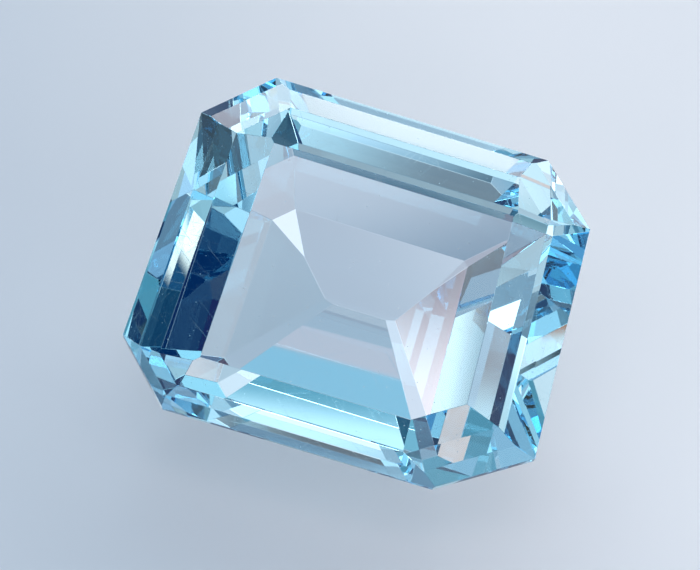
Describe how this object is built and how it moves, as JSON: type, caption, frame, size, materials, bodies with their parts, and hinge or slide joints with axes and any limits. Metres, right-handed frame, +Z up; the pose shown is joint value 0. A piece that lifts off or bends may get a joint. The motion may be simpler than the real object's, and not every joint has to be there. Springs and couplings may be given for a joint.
{
  "type": "cut gemstone",
  "caption": "Clear pale blue topaz gemstone in an octagonal step cut, lying on one flat of its pavilion with its table tipped forward.",
  "frame": {"origin": "middle of the stone's footprint, at the height of the surface that it lies on", "axes": "+X along the stone's length, towards its right end; +Y towards the back, the side that the table rises to; +Z up, at right angles to the flat that the stone lies on"},
  "size_m": [0.0198, 0.0164, 0.0108],
  "materials": {
    "topaz": "clear, polished"
  },
  "bodies": {
    "root": {"blue_topaz": "topaz"}
  },
  "joints": []
}
